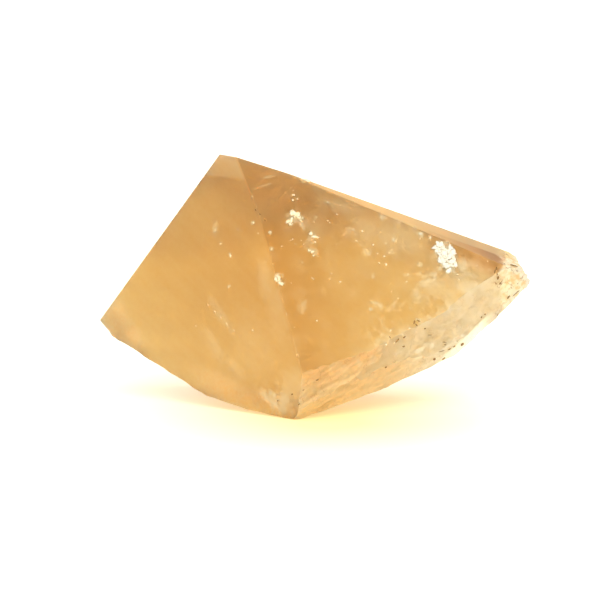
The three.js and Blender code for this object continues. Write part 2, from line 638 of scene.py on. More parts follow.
def on_stone(across, up):
    """The point of the crystal seen at a spot, and the way its surface looks there."""
    point, normal, _, _ = crystal_tree.ray_cast(Vector(eye), Vector(sight_line(across, up)))
    return (None, None) if point is None else (np.array(point), np.array(normal))


def in_stone(across, up, depth):
    """The point seen at a spot that lies depth mm inside the crystal along the bent ray."""
    point, normal = on_stone(across, up)
    line = sight_line(across, up)
    slant = -(line @ normal)
    inward = line / TOPAZ_IOR
    inward += (slant / TOPAZ_IOR - math.sqrt(1 - (1 - slant**2) / TOPAZ_IOR**2)) * normal
    return point + inward * depth * MM, normal


# %% Helpers to join many small parts
# A small part is its points and its faces.


def gathered(parts):
    """The points and the faces of all the parts."""
    points, faces = [], []
    for part_points, part_faces in parts:
        faces += [[corner + len(points) for corner in face] for face in part_faces]
        points += [tuple(point) for point in part_points]
    return points, faces


def joined(name, parts):
    """One closed object from many parts."""
    points, faces = gathered(parts)
    mesh = bpy.data.meshes.new(name)
    mesh.from_pydata(points, [], faces)
    closed_outward(mesh)
    mesh.polygons.foreach_set("use_smooth", [True] * len(faces))
    return new_object(name, mesh)


# %% Where air has crept in
# Each flake is across and up in the view, length, width, turn in degrees, and depth, in mm.
PATCH = [
    (19.6, 7.2, 2.2, 1.6, 70, 0.03), (20.6, 6.6, 2.0, 1.8, 20, 0.03),
    (20.0, 5.9, 1.8, 1.5, 100, 0.03), (21.2, 5.2, 1.5, 1.4, 80, 0.03),
    (20.4, 4.9, 1.4, 1.5, 30, 0.03), (21.5, 5.8, 1.1, 1.0, 10, 0.03),
]
FLAKES = [
    (-1.33, 10.98, 1.1, 0.8, 10, 0.03), (-0.5, 11.9, 1.5, 0.7, -38, 0.05),
    (0.2, 11.4, 1.0, 0.6, -50, 0.04), (2.24, 11.6, 0.6, 0.5, 40, 0.08),
    (1.9, 9.1, 0.9, 0.6, -35, 0.04), (1.3, 7.1, 1.1, 0.4, -25, 0.03),
    (1.96, 6.2, 0.5, 0.3, -20, 0.03), (-4.34, 9.5, 0.35, 0.3, 0, 0.03),
    (-4.06, 7.1, 0.3, 0.42, 0, 0.03), (-9.8, 6.3, 0.5, 0.22, -45, 0.03),
    (-11.1, 7.8, 0.28, 0.24, 0, 0.03), (-11.9, 9.8, 0.8, 0.4, 70, 0.08),
    (-6.6, 10.8, 0.36, 0.26, 0, 0.03), (-1.1, 14.6, 0.5, 0.3, 10, 0.04),
    (-0.9, 15.4, 0.34, 0.3, 30, 0.04), (-1.3, 15.8, 0.26, 0.2, 0, 0.03),
    (4.6, 13.2, 0.6, 0.4, 30, 0.05), (5.6, 13.3, 0.34, 0.26, 0, 0.03),
    (16.8, 9.4, 0.6, 0.4, -40, 0.04), (16.7, 8.7, 0.4, 0.34, 0, 0.04),
    (18.2, 8.8, 0.4, 0.34, 10, 0.04), (19.7, 8.8, 0.5, 0.3, -20, 0.03),
    (20.9, 8.1, 0.26, 0.22, 0, 0.03), (13.2, 8.3, 0.6, 0.4, -45, 0.05),
    (0.3, 5.3, 0.3, 0.3, 0, 0.03), (10.6, -0.4, 0.5, 0.3, -30, 0.05),
    (9.9, -1.4, 0.4, 0.3, 20, 0.05), (0.4, -0.7, 0.5, 0.35, 60, 0.05),
    (-10.1, 1.8, 0.34, 0.3, 0, 0.04), (-5.9, 9.4, 0.3, 0.26, 0, 0.03),
    (-2.9, 2.8, 0.9, 0.5, -60, 0.03), (-2.4, 2.3, 0.6, 0.5, 20, 0.03),
    (-3.2, 3.4, 0.4, 0.3, 0, 0.03), (0.6, 16.9, 1.2, 0.3, -20, 0.03),
    (1.6, 16.6, 0.8, 0.2, -22, 0.03), (-1.1, 14.7, 0.7, 0.3, 0, 0.03),
    (12.8, -4.2, 0.7, 0.3, 30, 0.03), (14.4, -4.8, 0.5, 0.3, 50, 0.03),
    (13.2, -5.9, 0.5, 0.3, 20, 0.03), (16.3, -2.6, 0.5, 0.3, -40, 0.03),
    (11.6, -6.3, 1.3, 0.35, 35, 0.15), (15.3, -3.9, 0.5, 0.4, 0, 0.03),
    (-12.9, -0.6, 0.5, 0.14, -45, 0.02), (-12.0, -1.5, 0.8, 0.16, -48, 0.02),
    (-11.1, -2.4, 0.4, 0.16, -45, 0.02), (-10.2, -3.4, 0.7, 0.14, -45, 0.02),
    (-9.2, -4.3, 0.5, 0.16, -42, 0.02), (-8.4, -5.0, 0.3, 0.14, -45, 0.02),
    (-6.6, -4.2, 0.5, 0.3, -20, 0.02), (-14.6, -3.6, 0.4, 0.2, -50, 0.02),
]

# %% One flake
FLAKE_THICKNESS = 0.05 * MM
FLAKE_CORNERS = 9
# The rings of a flake: their share of its size, and how high they lie in half thicknesses.
FLAKE_RINGS = ((1, 0), (0.6, 1), (0, 1.2), (0.6, -1), (0, -1.2))
FLAKE_UPTURN = 0.08


def flake(centre, facing, length, width, turn, rng):
    """A thin crooked disc: its rim, a raised ring and a middle on each side."""
    level, uphill = face_axes(facing)
    angle = np.linspace(0, 2 * math.pi, FLAKE_CORNERS, endpoint=False)
    reach = 1 + 0.22 * np.sin(2 * angle + rng.uniform(0, 6.3)) * rng.uniform(0.4, 1)
    reach += rng.uniform(-0.3, 0.2, FLAKE_CORNERS)
    x, y = reach * np.cos(angle) * length / 2, reach * np.sin(angle) * width / 2
    x, y = np.array(turned(x, y, turn)) * MM
    bend = rng.uniform(-0.15, 0.15) / length / MM
    points = []
    for share, lift in FLAKE_RINGS:
        xs, ys = (x * share, y * share) if share else (np.zeros(1), np.zeros(1))
        heights = lift * FLAKE_THICKNESS / 2 + bend * xs**2
        for a, b, height in zip(xs, ys, heights):
            points.append(centre + level * a + uphill * b + facing * height)
    count = FLAKE_CORNERS
    upper, lower = count, 2 * count + 1
    faces = []
    for i in range(count):
        j = (i + 1) % count
        faces.append((i, j, upper + j, upper + i))
        faces.append((upper + i, upper + j, upper + count))
        faces.append((j, i, lower + i, lower + j))
        faces.append((lower + j, lower + i, lower + count))
    return points, faces


def leaned(way, degrees, rng):
    """A direction that leans from way, upward and at random by up to so many degrees."""
    leaning = way + rng.normal(0, math.tan(math.radians(degrees)) / 2, 3)
    leaning[2] += FLAKE_UPTURN
    return leaning / np.linalg.norm(leaning)


# %% Shards of the large flakes
SHARD_SIZE = 1.1
SHARD_AREA = 0.13


def shards(across, up, length, width, turn, depth, rng):
    """A large flake as many shards side by side. Each is given as a flake is."""
    count = max(1, round(length * width / SHARD_AREA))
    if count < 3:
        return [(across, up, length, width, turn, depth)]
    found = []
    for _ in range(count):
        angle, reach = rng.uniform(0, 2 * math.pi), 0.85 * math.sqrt(rng.uniform())
        a, b = reach * math.cos(angle) * length / 2, reach * math.sin(angle) * width / 2
        a, b = turned(a, b, turn)
        size = SHARD_SIZE * rng.uniform(0.5, 1.4)
        found.append((across + a, up + b, size, size * rng.uniform(0.4, 0.9),
                      rng.uniform(-90, 90), depth * rng.uniform(0.2, 1.6)))
    return found


# %% Small flakes with no place of their own
# At the front they crowd in the upper part of one face, and the faces at the back have groups.
SMALL_FLAKES = 70
SMALL_FLAKE_REGION = ((-3.0, 27.0), (-6.0, 16.0))
KEPT_BELOW, KEPT_PER_MM = 0.25, 0.05
BACK_FACES = ("top", "left_back", "middle_back", "right_back")
GROUPS = 5
GROUP_COUNT = (3, 10)
GROUP_SPREAD = 1.3 * MM
BACK_RIM = 0.3 * MM
FRONT_LEAN, BACK_LEAN = 12, 8


def small_flakes(rng):
    """Small flakes on the right front face. The higher up, the more of them are kept."""
    found = []
    lowest = SMALL_FLAKE_REGION[1][0]
    while len(found) < SMALL_FLAKES:
        across, up = [rng.uniform(*side) for side in SMALL_FLAKE_REGION]
        point, normal = on_stone(across, up)
        if point is None or normal @ planes["right_front"][0] < 0.999:
            continue
        if rng.uniform() > KEPT_BELOW + KEPT_PER_MM * (up - lowest) * rng.uniform():
            continue
        length = rng.uniform(0.12, 0.4)
        found.append((across, up, length, length * rng.uniform(0.4, 0.9), rng.uniform(-60, 60),
                      rng.uniform(-0.03, 0.03)))
    return found


def back_flakes(rng):
    """Groups of flakes just below the faces at the back, each as its points and faces."""
    parts = []
    for name in BACK_FACES:
        way, _ = planes[name]
        corners = face_corners[name]
        for _ in range(GROUPS):
            middle = rng.dirichlet(np.ones(len(corners))) @ corners
            for _ in range(rng.integers(*GROUP_COUNT)):
                off = rng.normal(0, GROUP_SPREAD, 3)
                centre = middle + off - way * (off @ way + rng.uniform(0.02, 0.05) * MM)
                inside = all(centre @ other < distance - BACK_RIM
                             for face, (other, distance) in planes.items() if face != name)
                length = rng.uniform(0.15, 0.8)
                if inside:
                    parts.append(flake(centre, leaned(way, BACK_LEAN, rng), length,
                                       length * rng.uniform(0.4, 0.9), rng.uniform(-90, 90), rng))
    return parts


# %% Lay the flakes


def laid_flakes(name, spots, rng, others=()):
    """One object from the flakes at these spots of the view, and from others."""
    parts = list(others)
    for across, up, length, width, turn, depth in spots:
        if on_stone(across, up)[0] is not None:
            centre, normal = in_stone(across, up, depth)
            facing = leaned(normal, FRONT_LEAN, rng)
            parts.append(flake(centre, facing, length, width, turn, rng))
    made = joined(name, parts)
    print(name, len(parts), "flakes with", len(made.data.polygons), "faces")
    return made


rng = np.random.default_rng(11)
patch = laid_flakes("air_patch", [shard for spot in PATCH for shard in shards(*spot, rng)], rng)
spots = [shard for spot in FLAKES for shard in shards(*spot, rng)] + small_flakes(rng)
flakes = laid_flakes("air_flakes", spots, rng, back_flakes(np.random.default_rng(12)))

# %% [markdown]
# ## Dirt in the break
#
# Iron-stained dirt sits in the cracks and pits of the break. Dark spots in the material would
# do from far away, but up close a grain has a lit side and a shape. So each grain is a small
# crooked ball, drawn out along its crack, and half of it is sunk in the stone.

# %% Where the dirt is
# Each grain is across and up in the view, length, width, and turn in degrees.
GRIT = [
    (2.4, -11.2, 0.6, 0.22, 15), (12.0, -9.4, 0.36, 0.28, 0), (18.8, -8.25, 0.42, 0.4, 0),
    (20.1, -8.2, 0.66, 0.26, 30), (19.9, -7.15, 1.4, 0.12, 5), (22.7, -6.2, 0.62, 0.4, 40),
    (20.2, -5.9, 0.8, 0.12, -10), (20.3, -6.25, 0.5, 0.1, -15), (18.2, -4.9, 0.8, 0.1, -4),
    (17.5, -4.0, 0.3, 0.2, 0), (13.6, -5.7, 0.8, 0.22, 40), (14.6, -5.2, 0.46, 0.24, 20),
    (14.5, -6.5, 0.5, 0.24, 10), (12.6, -5.2, 0.4, 0.16, -60), (16.0, -3.1, 0.5, 0.24, 60),
    (16.6, -2.9, 0.5, 0.22, -40), (16.3, -3.5, 0.5, 0.14, -45), (27.7, 3.1, 0.34, 0.5, 0),
    (29.2, 0.4, 0.6, 0.26, 40), (30.2, 0.9, 1.3, 0.14, 37), (25.4, -2.4, 0.3, 0.2, 40),
    (25.9, -2.0, 0.3, 0.22, 40), (-1.1, -13.2, 0.3, 0.18, 30), (-3.1, -14.1, 0.26, 0.2, 0),
    (-0.14, -14.6, 0.36, 0.16, 30), (0.5, -12.6, 0.4, 0.1, 5), (29.9, 4.8, 1.5, 0.26, -32),
    (27.5, 4.4, 0.5, 0.2, 80), (-6.2, 12.6, 0.3, 0.16, -60), (-5.6, 12.0, 0.3, 0.14, -50),
    (-4.9, 11.2, 0.3, 0.14, -65), (27.3, 4.0, 0.6, 0.2, 70), (28.0, 2.3, 0.5, 0.2, 25),
    (27.6, 3.6, 0.4, 0.2, -60), (20.9, -6.9, 0.5, 0.16, 20), (21.6, -6.5, 0.4, 0.2, 30),
]

# %% Grit


def grain(centre, facing, length, width, turn, rng):
    """A crooked grain, as its points and faces."""
    level, uphill = face_axes(facing)
    bm = bmesh.new()
    bmesh.ops.create_icosphere(bm, subdivisions=2, radius=0.5)
    points = []
    for vertex in bm.verts:
        a, b, h = np.array(vertex.co) * rng.uniform(0.8, 1.2)
        a, b = turned(a * length * MM, b * width * MM, turn)
        h = h * min(length, width) * MM
        points.append(centre + level * a + uphill * b + facing * h)
    faces = [[vertex.index for vertex in face.verts] for face in bm.faces]
    bm.free()
    return points, faces


rng = np.random.default_rng(21)
parts = []
for across, up, length, width, turn in GRIT:
    point, normal = on_stone(across, up)
    if point is not None:
        parts.append(grain(point, normal, length, width, turn, rng))
grit = joined("grit", parts)
print("grit:", len(parts), "grains with", len(grit.data.polygons), "faces")

# %% [markdown]
# ## Healed cracks
#
# A crack that healed while the crystal grew leaves a veil: a curved sheet of bubbles too small to
# see one by one. A sheet is laid through the stone for each, and Geometry Nodes scatter bubbles
# over it, because their number, size and spread can then be changed without touching the sheet.

# %% Sheets for the veils
# Across, up, length, width and turn in the view, depth, and how crowded the bubbles are from 0 to 1.
VEILS = [
    (-10.85, -2.45, 8.0, 1.4, -45, 0.2, 0.14), (-11.4, -7.5, 10.7, 2.4, -46, 0.2, 0.16),
    (20.0, 2.8, 8.0, 5.5, 10, 0.3, 0.55), (24.4, 1.3, 3.0, 3.4, 0, 0.3, 0.6),
    (12.0, 5.0, 14.0, 8.0, -10, 0.4, 0.18), (-4.5, 17.5, 3.0, 0.8, 10, 0.15, 0.7),
    (-5.5, 16.3, 3.0, 0.4, 10, 0.15, 0.7), (1.5, 8.5, 5.0, 3.0, -40, 0.3, 0.35),
    (16.5, 0.5, 4.0, 4.5, 60, 0.3, 0.4), (22.3, 3.6, 5.0, 1.6, 0, 0.2, 0.6),
]
SHEET_STEPS = 10
SHEET_WAVE = 0.4


def veil_sheet(across, up, length, width, turn, depth, crowding, rng):
    """A grid behind an oval spot of the view: its points, faces, and how crowded each point is."""
    points, faces, crowds = [], [], []
    phase = rng.uniform(0, 6.3, 2)
    for row in range(SHEET_STEPS + 1):
        for column in range(SHEET_STEPS + 1):
            u, v = 2 * column / SHEET_STEPS - 1, 2 * row / SHEET_STEPS - 1
            a, b = turned(u * length / 2, v * width / 2, turn)
            wave = math.sin(3 * u + phase[0]) * math.sin(2 * v + phase[1])
            place = across + a, up + b
            if on_stone(*place)[0] is None:
                place = across, up
            points.append(in_stone(*place, depth * (1 + SHEET_WAVE * wave))[0])
            fade = max(0.0, 1 - u * u - v * v)
            crowds.append(crowding * fade * rng.uniform(0.2, 1.6))
    wide = SHEET_STEPS + 1
    for row in range(SHEET_STEPS):
        for column in range(SHEET_STEPS):
            first = row * wide + column
            faces.append((first, first + 1, first + 1 + wide, first + wide))
    return points, faces, crowds


rng = np.random.default_rng(31)
grids = [veil_sheet(*veil, rng) for veil in VEILS]
points, faces = gathered([(points, faces) for points, faces, _ in grids])
crowds = [crowd for *_, grid_crowds in grids for crowd in grid_crowds]
sheet_mesh = bpy.data.meshes.new("veil_sheets")
sheet_mesh.from_pydata(points, [], faces)
sheet_mesh.attributes.new("crowding", "FLOAT", "POINT").data.foreach_set("value", crowds)
sheets = new_object("veil_sheets", sheet_mesh)
print("veils:", len(VEILS), "sheets,", len(faces), "faces")

# %% [markdown]
# ## Bubbles
#
# The bubbles could be placed one by one in code, but a node tree shows its settings by name and
# can be tried out with sliders. It scatters points where the sheets are crowded, puts a tiny
# ball on each and turns them all into real mesh, so that nothing depends on the tree afterwards.

# %% Small helpers for nodes


def new_material(name):
    """A new material, its node tree and its main shader."""
    material = bpy.data.materials.new(name)
    material.use_nodes = True
    return material, material.node_tree, material.node_tree.nodes["Principled BSDF"]


def is_socket(value):
    return isinstance(value, bpy.types.NodeSocket)


def plug(socket, value):
    """Sets a socket to a value, or links another node's output to it."""
    if is_socket(value):
        socket.id_data.links.new(value, socket)
    else:
        socket.default_value = value


def add(tree, kind, *values, operation=None, **named):
    """Adds a node and fills its sockets: the first ones in order, and others by name."""
    made = tree.nodes.new(kind)
    if operation:
        made.operation = operation
    for socket, value in zip(made.inputs, values):
        plug(socket, value)
    for name, value in named.items():
        plug(made.inputs[name.replace("_", " ")], value)
    return made


# %% Bubbles on the sheets, by Geometry Nodes
BUBBLE_INPUTS = {
    "Bubbles per m2": ("NodeSocketFloat", 60.0 / MM**2),
    "Smallest": ("NodeSocketFloat", 0.025 * MM),
    "Largest": ("NodeSocketFloat", 0.085 * MM),
    "Seed": ("NodeSocketInt", 7),
    "Bubble": ("NodeSocketMaterial", None),
}


def bubble_tree():
    """The node tree that turns a sheet into the bubbles on it."""
    tree = bpy.data.node_groups.new("bubbles_on_a_sheet", "GeometryNodeTree")
    tree.interface.new_socket("Sheet", in_out="INPUT", socket_type="NodeSocketGeometry")
    for name, (kind, _) in BUBBLE_INPUTS.items():
        tree.interface.new_socket(name, in_out="INPUT", socket_type=kind)
    tree.interface.new_socket("Bubbles", in_out="OUTPUT", socket_type="NodeSocketGeometry")
    given = tree.nodes.new("NodeGroupInput").outputs
    crowding = add(tree, "GeometryNodeInputNamedAttribute", Name="crowding").outputs["Attribute"]
    density = add(tree, "ShaderNodeMath", crowding, given["Bubbles per m2"], operation="MULTIPLY")
    spots = add(tree, "GeometryNodeDistributePointsOnFaces", Mesh=given["Sheet"],
                Density=density.outputs[0], Seed=given["Seed"]).outputs
    size = add(tree, "FunctionNodeRandomValue", Seed=given["Seed"])
    size.data_type = "FLOAT"
    floats = [socket for socket in size.inputs if socket.enabled and socket.type == "VALUE"]
    plug(floats[0], given["Smallest"])
    plug(floats[1], given["Largest"])
    ball = add(tree, "GeometryNodeMeshIcoSphere", Radius=1.0, Subdivisions=1)
    placed = add(tree, "GeometryNodeInstanceOnPoints", Points=spots["Points"],
                 Instance=ball.outputs["Mesh"], Rotation=spots["Rotation"],
                 Scale=next(socket for socket in size.outputs if socket.enabled))
    real = add(tree, "GeometryNodeRealizeInstances", Geometry=placed.outputs[0])
    painted_balls = add(tree, "GeometryNodeSetMaterial", Geometry=real.outputs[0],
                        Material=given["Bubble"])
    plug(tree.nodes.new("NodeGroupOutput").inputs[0], painted_balls.outputs[0])
    return tree


# %% Grow the bubbles


def grow_bubbles(sheets, material):
    """Runs the tree on the sheets and returns the bubbles as a plain mesh."""
    tree = bubble_tree()
    grower = sheets.modifiers.new("bubbles", "NODES")
    grower.node_group = tree
    for item in tree.interface.items_tree:
        if item.in_out == "INPUT" and item.name in BUBBLE_INPUTS:
            value = material if item.name == "Bubble" else BUBBLE_INPUTS[item.name][1]
            grower[item.identifier] = value
    depsgraph = bpy.context.evaluated_depsgraph_get()
    mesh = bpy.data.meshes.new_from_object(sheets.evaluated_get(depsgraph))
    mesh.name = "bubble_veils"
    sheets.modifiers.remove(grower)
    bpy.data.objects.remove(sheets)
    return new_object("bubble_veils", mesh)


# %% [markdown]
# ## The stone
#
# Topaz is clear, but this one is seen as through waxed paper: its natural faces are finely
# etched, and the stone just below them is hazy. So its material has three layers. Light passes
# into it by plain transmission with topaz's index of 1.62, blurred by the rough face. Volume
# absorption turns it to honey, more so the longer its way through the stone is. A part of it
# is scattered back by the haze, and where cracks whiten the stone that part is larger. What is
# laid over this is only shares and colours, which come from where a point lies in the stone.

# %% Helpers for mixing


def tree_of(*values):
    """The node tree of these values. At least one of them is a node's output."""
    return next(value.id_data for value in values if is_socket(value))


def blend(share, low, high):
    """low where share is 0, high where it is 1."""
    made = tree_of(share, low, high).nodes.new("ShaderNodeMix")
    is_colour = isinstance(high, tuple) or getattr(high, "type", None) == "RGBA"
    made.data_type = "RGBA" if is_colour else "FLOAT"
    made.clamp_factor = True
    for socket, value in zip([it for it in made.inputs if it.enabled], (share, low, high)):
        plug(socket, value)
    return next(socket for socket in made.outputs if socket.enabled)


def reckon(operation, *values):
    """One sum on all the values in turn, kept between 0 and 1."""
    total = values[0]
    for value in values[1:]:
        made = add(tree_of(total, value), "ShaderNodeMath", total, value, operation=operation)
        made.use_clamp = True
        total = made.outputs[0]
    return total


def times(*values):
    return reckon("MULTIPLY", *values)


def most(*values):
    return reckon("MAXIMUM", *values)


def minus(*values):
    return reckon("SUBTRACT", *values)


def spread(value, start, end, low=0.0, high=1.0):
    """low where the value is at start, high where it is at end, and even in between."""
    made = add(tree_of(value), "ShaderNodeMapRange", value, start, end, low, high)
    return made.outputs["Result"]


def measure(operation, *vectors):
    """A number from two vectors, such as their DISTANCE or DOT_PRODUCT."""
    made = add(tree_of(*vectors), "ShaderNodeVectorMath", *vectors, operation=operation)
    return made.outputs["Value"]


# %% Helpers for patterns
# A pattern takes the place it is asked for and answers with a number from 0 to 1 there. Its
# sizes and depths are in mm.


def painted(place, name):
    """One of the marks on the skin."""
    made = place.id_data.nodes.new("ShaderNodeAttribute")
    made.attribute_name = name
    return made.outputs["Fac"]


def noise(place, size, detail=4.0, roughness=0.5):
    """The outputs of cloudy noise: a number, and then a colour."""
    return add(place.id_data, "ShaderNodeTexNoise", Vector=place, Scale=1 / (size * MM),
               Detail=detail, Roughness=roughness).outputs


def cloud(place, size, low, high):
    """Patches of about this size: 0 below low in the noise and 1 above high."""
    return spread(noise(place, size)[0], low, high)


def bent(place, size, detail, reach):
    """The place, pushed about by noise, so that what is drawn there is crooked."""
    push = tuple(distance * MM for distance in reach)
    crook = noise(place, size, detail)["Color"]
    made = add(place.id_data, "ShaderNodeVectorMath", crook, push, place, operation="MULTIPLY_ADD")
    return made.outputs["Vector"]


def laid_out(place, axes, sizes, centre=(0.0, 0.0, 0.0)):
    """The place, measured from a centre along three axes in units of these sizes."""
    made = place.id_data.nodes.new("ShaderNodeMapping")
    made.vector_type = "TEXTURE"
    turn = Matrix(axes).transposed().to_euler()
    values = {"Vector": place, "Location": tuple(centre), "Rotation": tuple(turn),
              "Scale": tuple(size * MM for size in sizes)}
    for name, value in values.items():
        plug(made.inputs[name], value)
    return made.outputs["Vector"]


def under(place, name, near, far):
    """1 on a face's plane and down to a depth of near, and 0 from a depth of far."""
    way, distance = planes[name]
    height = measure("DOT_PRODUCT", place, tuple(way))
    return spread(height, float(distance) - far * MM, float(distance) - near * MM)


def rising(place, start, end):
    """0 up to start, counted from the heart towards the tip, and 1 from end."""
    across = add(place.id_data, "ShaderNodeSeparateXYZ", place).outputs["X"]
    return spread(across, heart[0] + start * MM, heart[0] + end * MM)


# %% [markdown]
# ## Milky spots
#
# Crowds of cracks too fine to see make the stone milky in spots. Each spot is an oval ball of
# milk that sits at the surface, so its place can be given as it is seen in the front view. Noise
# bends its rim, because a smooth oval would look airbrushed. Some spots are ragged, some soft,
# and some are warm rather than white. Clear spots are the same thing, taken away.

# %% Where the stone is milky
# Across, up, length, width and turn in the view in mm and degrees, and how white from 0 to 1.
MILK = [
    (17.9, 2.66, 3.6, 3.2, 0, 0.7), (24.6, 1.5, 1.6, 3.2, 10, 0.7),
    (20.0, 1.4, 10.0, 5.5, 10, 0.45), (20.2, 6.4, 4.0, 3.2, 60, 1.0),
    (27.0, 1.6, 4.5, 2.6, 30, 0.45), (14.5, -3.8, 6.0, 2.6, 30, 0.5),
    (-0.3, 11.4, 3.6, 2.2, -30, 0.6), (1.6, 8.4, 2.0, 1.5, 0, 0.5), (1.5, 7.0, 2.4, 1.2, -30, 0.5),
    (13.1, 8.4, 1.8, 1.2, -40, 0.6), (16.8, 9.2, 2.0, 1.2, -40, 0.6), (6.8, 9.6, 3.0, 1.6, 20, 0.4),
    (10.8, -0.9, 2.4, 1.5, -30, 0.6), (0.3, -0.8, 2.6, 1.9, 60, 0.4),
    (-2.9, 2.7, 2.6, 1.6, -60, 0.7), (23.6, 3.5, 4.6, 1.7, -12, 0.55),
    (9.0, 4.0, 12.0, 5.0, 20, 0.12), (-4.4, 17.2, 3.4, 0.6, 10, 0.5),
    (-5.0, 16.0, 3.4, 0.5, 12, 0.5), (0.9, 16.8, 3.0, 0.9, -20, 0.9),
    (14.0, 9.0, 9.0, 1.6, -22, 0.3), (24.0, 5.0, 5.0, 1.6, -20, 0.4),
    (17.2, -6.7, 10.0, 1.3, 4, 1.0), (25.6, -3.0, 12.5, 1.5, 38, 0.3),
    (11.0, -8.0, 9.0, 1.0, 30, 0.8), (5.0, -11.0, 8.0, 0.9, 27, 0.7),
    (4.0, -13.4, 8.0, 0.6, 25, 0.5), (20.8, 4.8, 3.0, 2.6, 0, 1.0), (26.2, 3.9, 3.2, 1.5, -20, 0.2),
    (18.0, 2.3, 3.4, 4.2, 0, 0.5), (18.6, 3.4, 2.2, 2.2, 0, 0.55), (16.6, 0.4, 2.4, 3.4, 0, 0.7),
    (22.4, 3.0, 3.0, 1.6, -20, 0.5),
]
SOFT_MILK = [
    (-10.85, -2.45, 9.4, 2.2, -45, 0.22), (-12.0, -6.5, 8.0, 3.0, -50, 0.2),
    (-9.0, -9.8, 6.4, 3.0, -42, 0.2), (-6.0, -7.0, 14.0, 10.0, -50, 0.14),
    (14.8, -10.0, 4.6, 1.1, 45, 0.8), (-1.2, -12.8, 7.5, 9.5, 0, 0.32),
    (-3.2, -2.0, 16.0, 5.0, -75, 0.16), (-4.2, -14.5, 9.0, 4.6, -12, 0.75),
    (13.4, 8.6, 13.0, 7.0, -20, 0.32), (6.3, 13.0, 9.5, 3.0, -19, 0.28),
    (-4.8, 2.4, 9.0, 3.6, -75, 0.22), (-9.8, 6.3, 1.0, 0.5, -50, 0.9),
    (-10.0, 2.0, 1.0, 0.6, 0, 0.6), (-11.9, 10.0, 1.6, 2.6, 0, 0.3), (-11.1, 7.9, 0.6, 0.6, 0, 0.5),
    (-6.6, 10.8, 0.9, 0.6, 20, 0.7), (-4.2, 9.5, 0.7, 0.7, 0, 0.8), (-4.0, 7.2, 0.8, 1.0, 0, 0.8),
    (-8.7, 9.9, 0.7, 0.5, 0, 0.4), (-2.2, -13.9, 5.0, 4.0, 0, 0.6), (22.8, 5.0, 2.8, 3.2, 0, 0.7),
    (9.6, 9.8, 8.0, 7.0, -20, 0.3), (13.1, 8.4, 1.1, 0.9, -40, 0.95),
    (16.8, 9.3, 1.2, 0.8, -20, 0.95), (18.2, 8.8, 0.8, 0.8, 0, 0.7), (9.4, 6.7, 2.2, 1.8, 0, 0.5),
    (12.7, 6.7, 2.0, 1.4, 0, 0.45), (9.9, -1.3, 0.8, 0.7, 0, 0.7), (16.8, 4.9, 1.1, 1.5, 0, 0.6),
    (15.0, 3.5, 1.8, 1.2, 0, 0.35), (7.5, 9.8, 0.8, 0.7, 0, 0.7), (10.2, 3.3, 0.9, 0.9, 0, 0.4),
    (11.6, 11.5, 1.7, 1.4, 0, 0.6), (13.9, 10.9, 1.2, 0.6, 0, 0.6),
]
CLEAR_SPOTS = [
    (15.6, -2.0, 13.0, 6.0, 22, 0.42), (21.2, 0.6, 5.0, 5.0, 0, 0.2),
    (26.0, 0.4, 4.0, 3.0, 0, 0.25),
]
WARM_MILK = [
    (-26.4, -2.6, 9.0, 7.5, -40, 0.5), (-8.5, -14.0, 20.0, 5.2, -20, 0.7),
    (-23.6, -5.2, 5.4, 4.0, -35, 0.6),
]

# %% Milk
MILK_DEPTH = 2.0
MILK_FADE = 0.7
RAGGED_SIZE = 0.9
RAGGED, SOFT, SOFTEST = 0.7, 0.3, 0.15


def milk_spot(place, crooked, raggedness, across, up, length, width, turn, white):
    """How milky the stone is around one spot: an oval with a ragged, fading rim."""
    centre, normal = on_stone(across, up)
    level, uphill = face_axes(normal)
    # Axes turn one way when what is measured along them turns the other way.
    axes = (*turned(level, uphill, -turn), normal)
    room = 1 + raggedness
    sizes = (length / 2 * room, width / 2 * room, MILK_DEPTH / 2 * room)
    near = laid_out(place, axes, sizes, centre)
    ball = add(place.id_data, "ShaderNodeTexGradient", near)
    ball.gradient_type = "SPHERICAL"
    inward = add(place.id_data, "ShaderNodeMath", ball.outputs["Fac"], room, crooked,
                 operation="MULTIPLY_ADD")
    return spread(inward.outputs[0], raggedness, raggedness + MILK_FADE, 0.0, white)


def milky(place, spots, raggedness):
    """All these spots together."""
    crooked = noise(place, RAGGED_SIZE, detail=6.0, roughness=0.65)[0]
    crooked = spread(crooked, 0.35, 0.65, -raggedness, raggedness)
    whole = 0.0
    for spot in spots:
        whole = most(whole, milk_spot(place, crooked, raggedness, *spot))
    return whole


# %% [markdown]
# ## Streaks, crumbs and cracks
#
# Seen close up, the break is drawn out in long pale and orange streaks, the tip is a mass of
# crumbs, and thin dark cracks run through both. Streaks are noise that is stretched along the
# line in which the stone tore. Cracks are the borders of crooked cells, with gaps so that they
# don't close into a net.

# %% Streaks and cracks in the break
CRUMBLY = (28.4, 29.1)
CRUMBLY_BEND = 4.0
CRUMBLY_BEND_SIZE = 1.3
BREAK_LINE = (4.0, -10.5), (11.0, -6.7)
STREAK_STRETCH = (4.0, 0.45, 1.2)
GROWTH_LINE = (-13.7, 0.4), (-8.0, -5.3)
GROWTH_STRETCH = (9.0, 1.3, 3.0)
CRACK_SIZE = 1.2
CRACK_WIDTH = 0.045
CRACK_BEND = (0.9, 0.9, 0.9)
CRACK_BEND_SIZE = 0.6


def crumbly(place):
    """1 in the crumbly tip, which starts along a ragged line."""
    ragged = bent(place, CRUMBLY_BEND_SIZE, 4.0, (CRUMBLY_BEND, 0.0, 0.0))
    return rising(ragged, *(start + CRUMBLY_BEND / 2 for start in CRUMBLY))


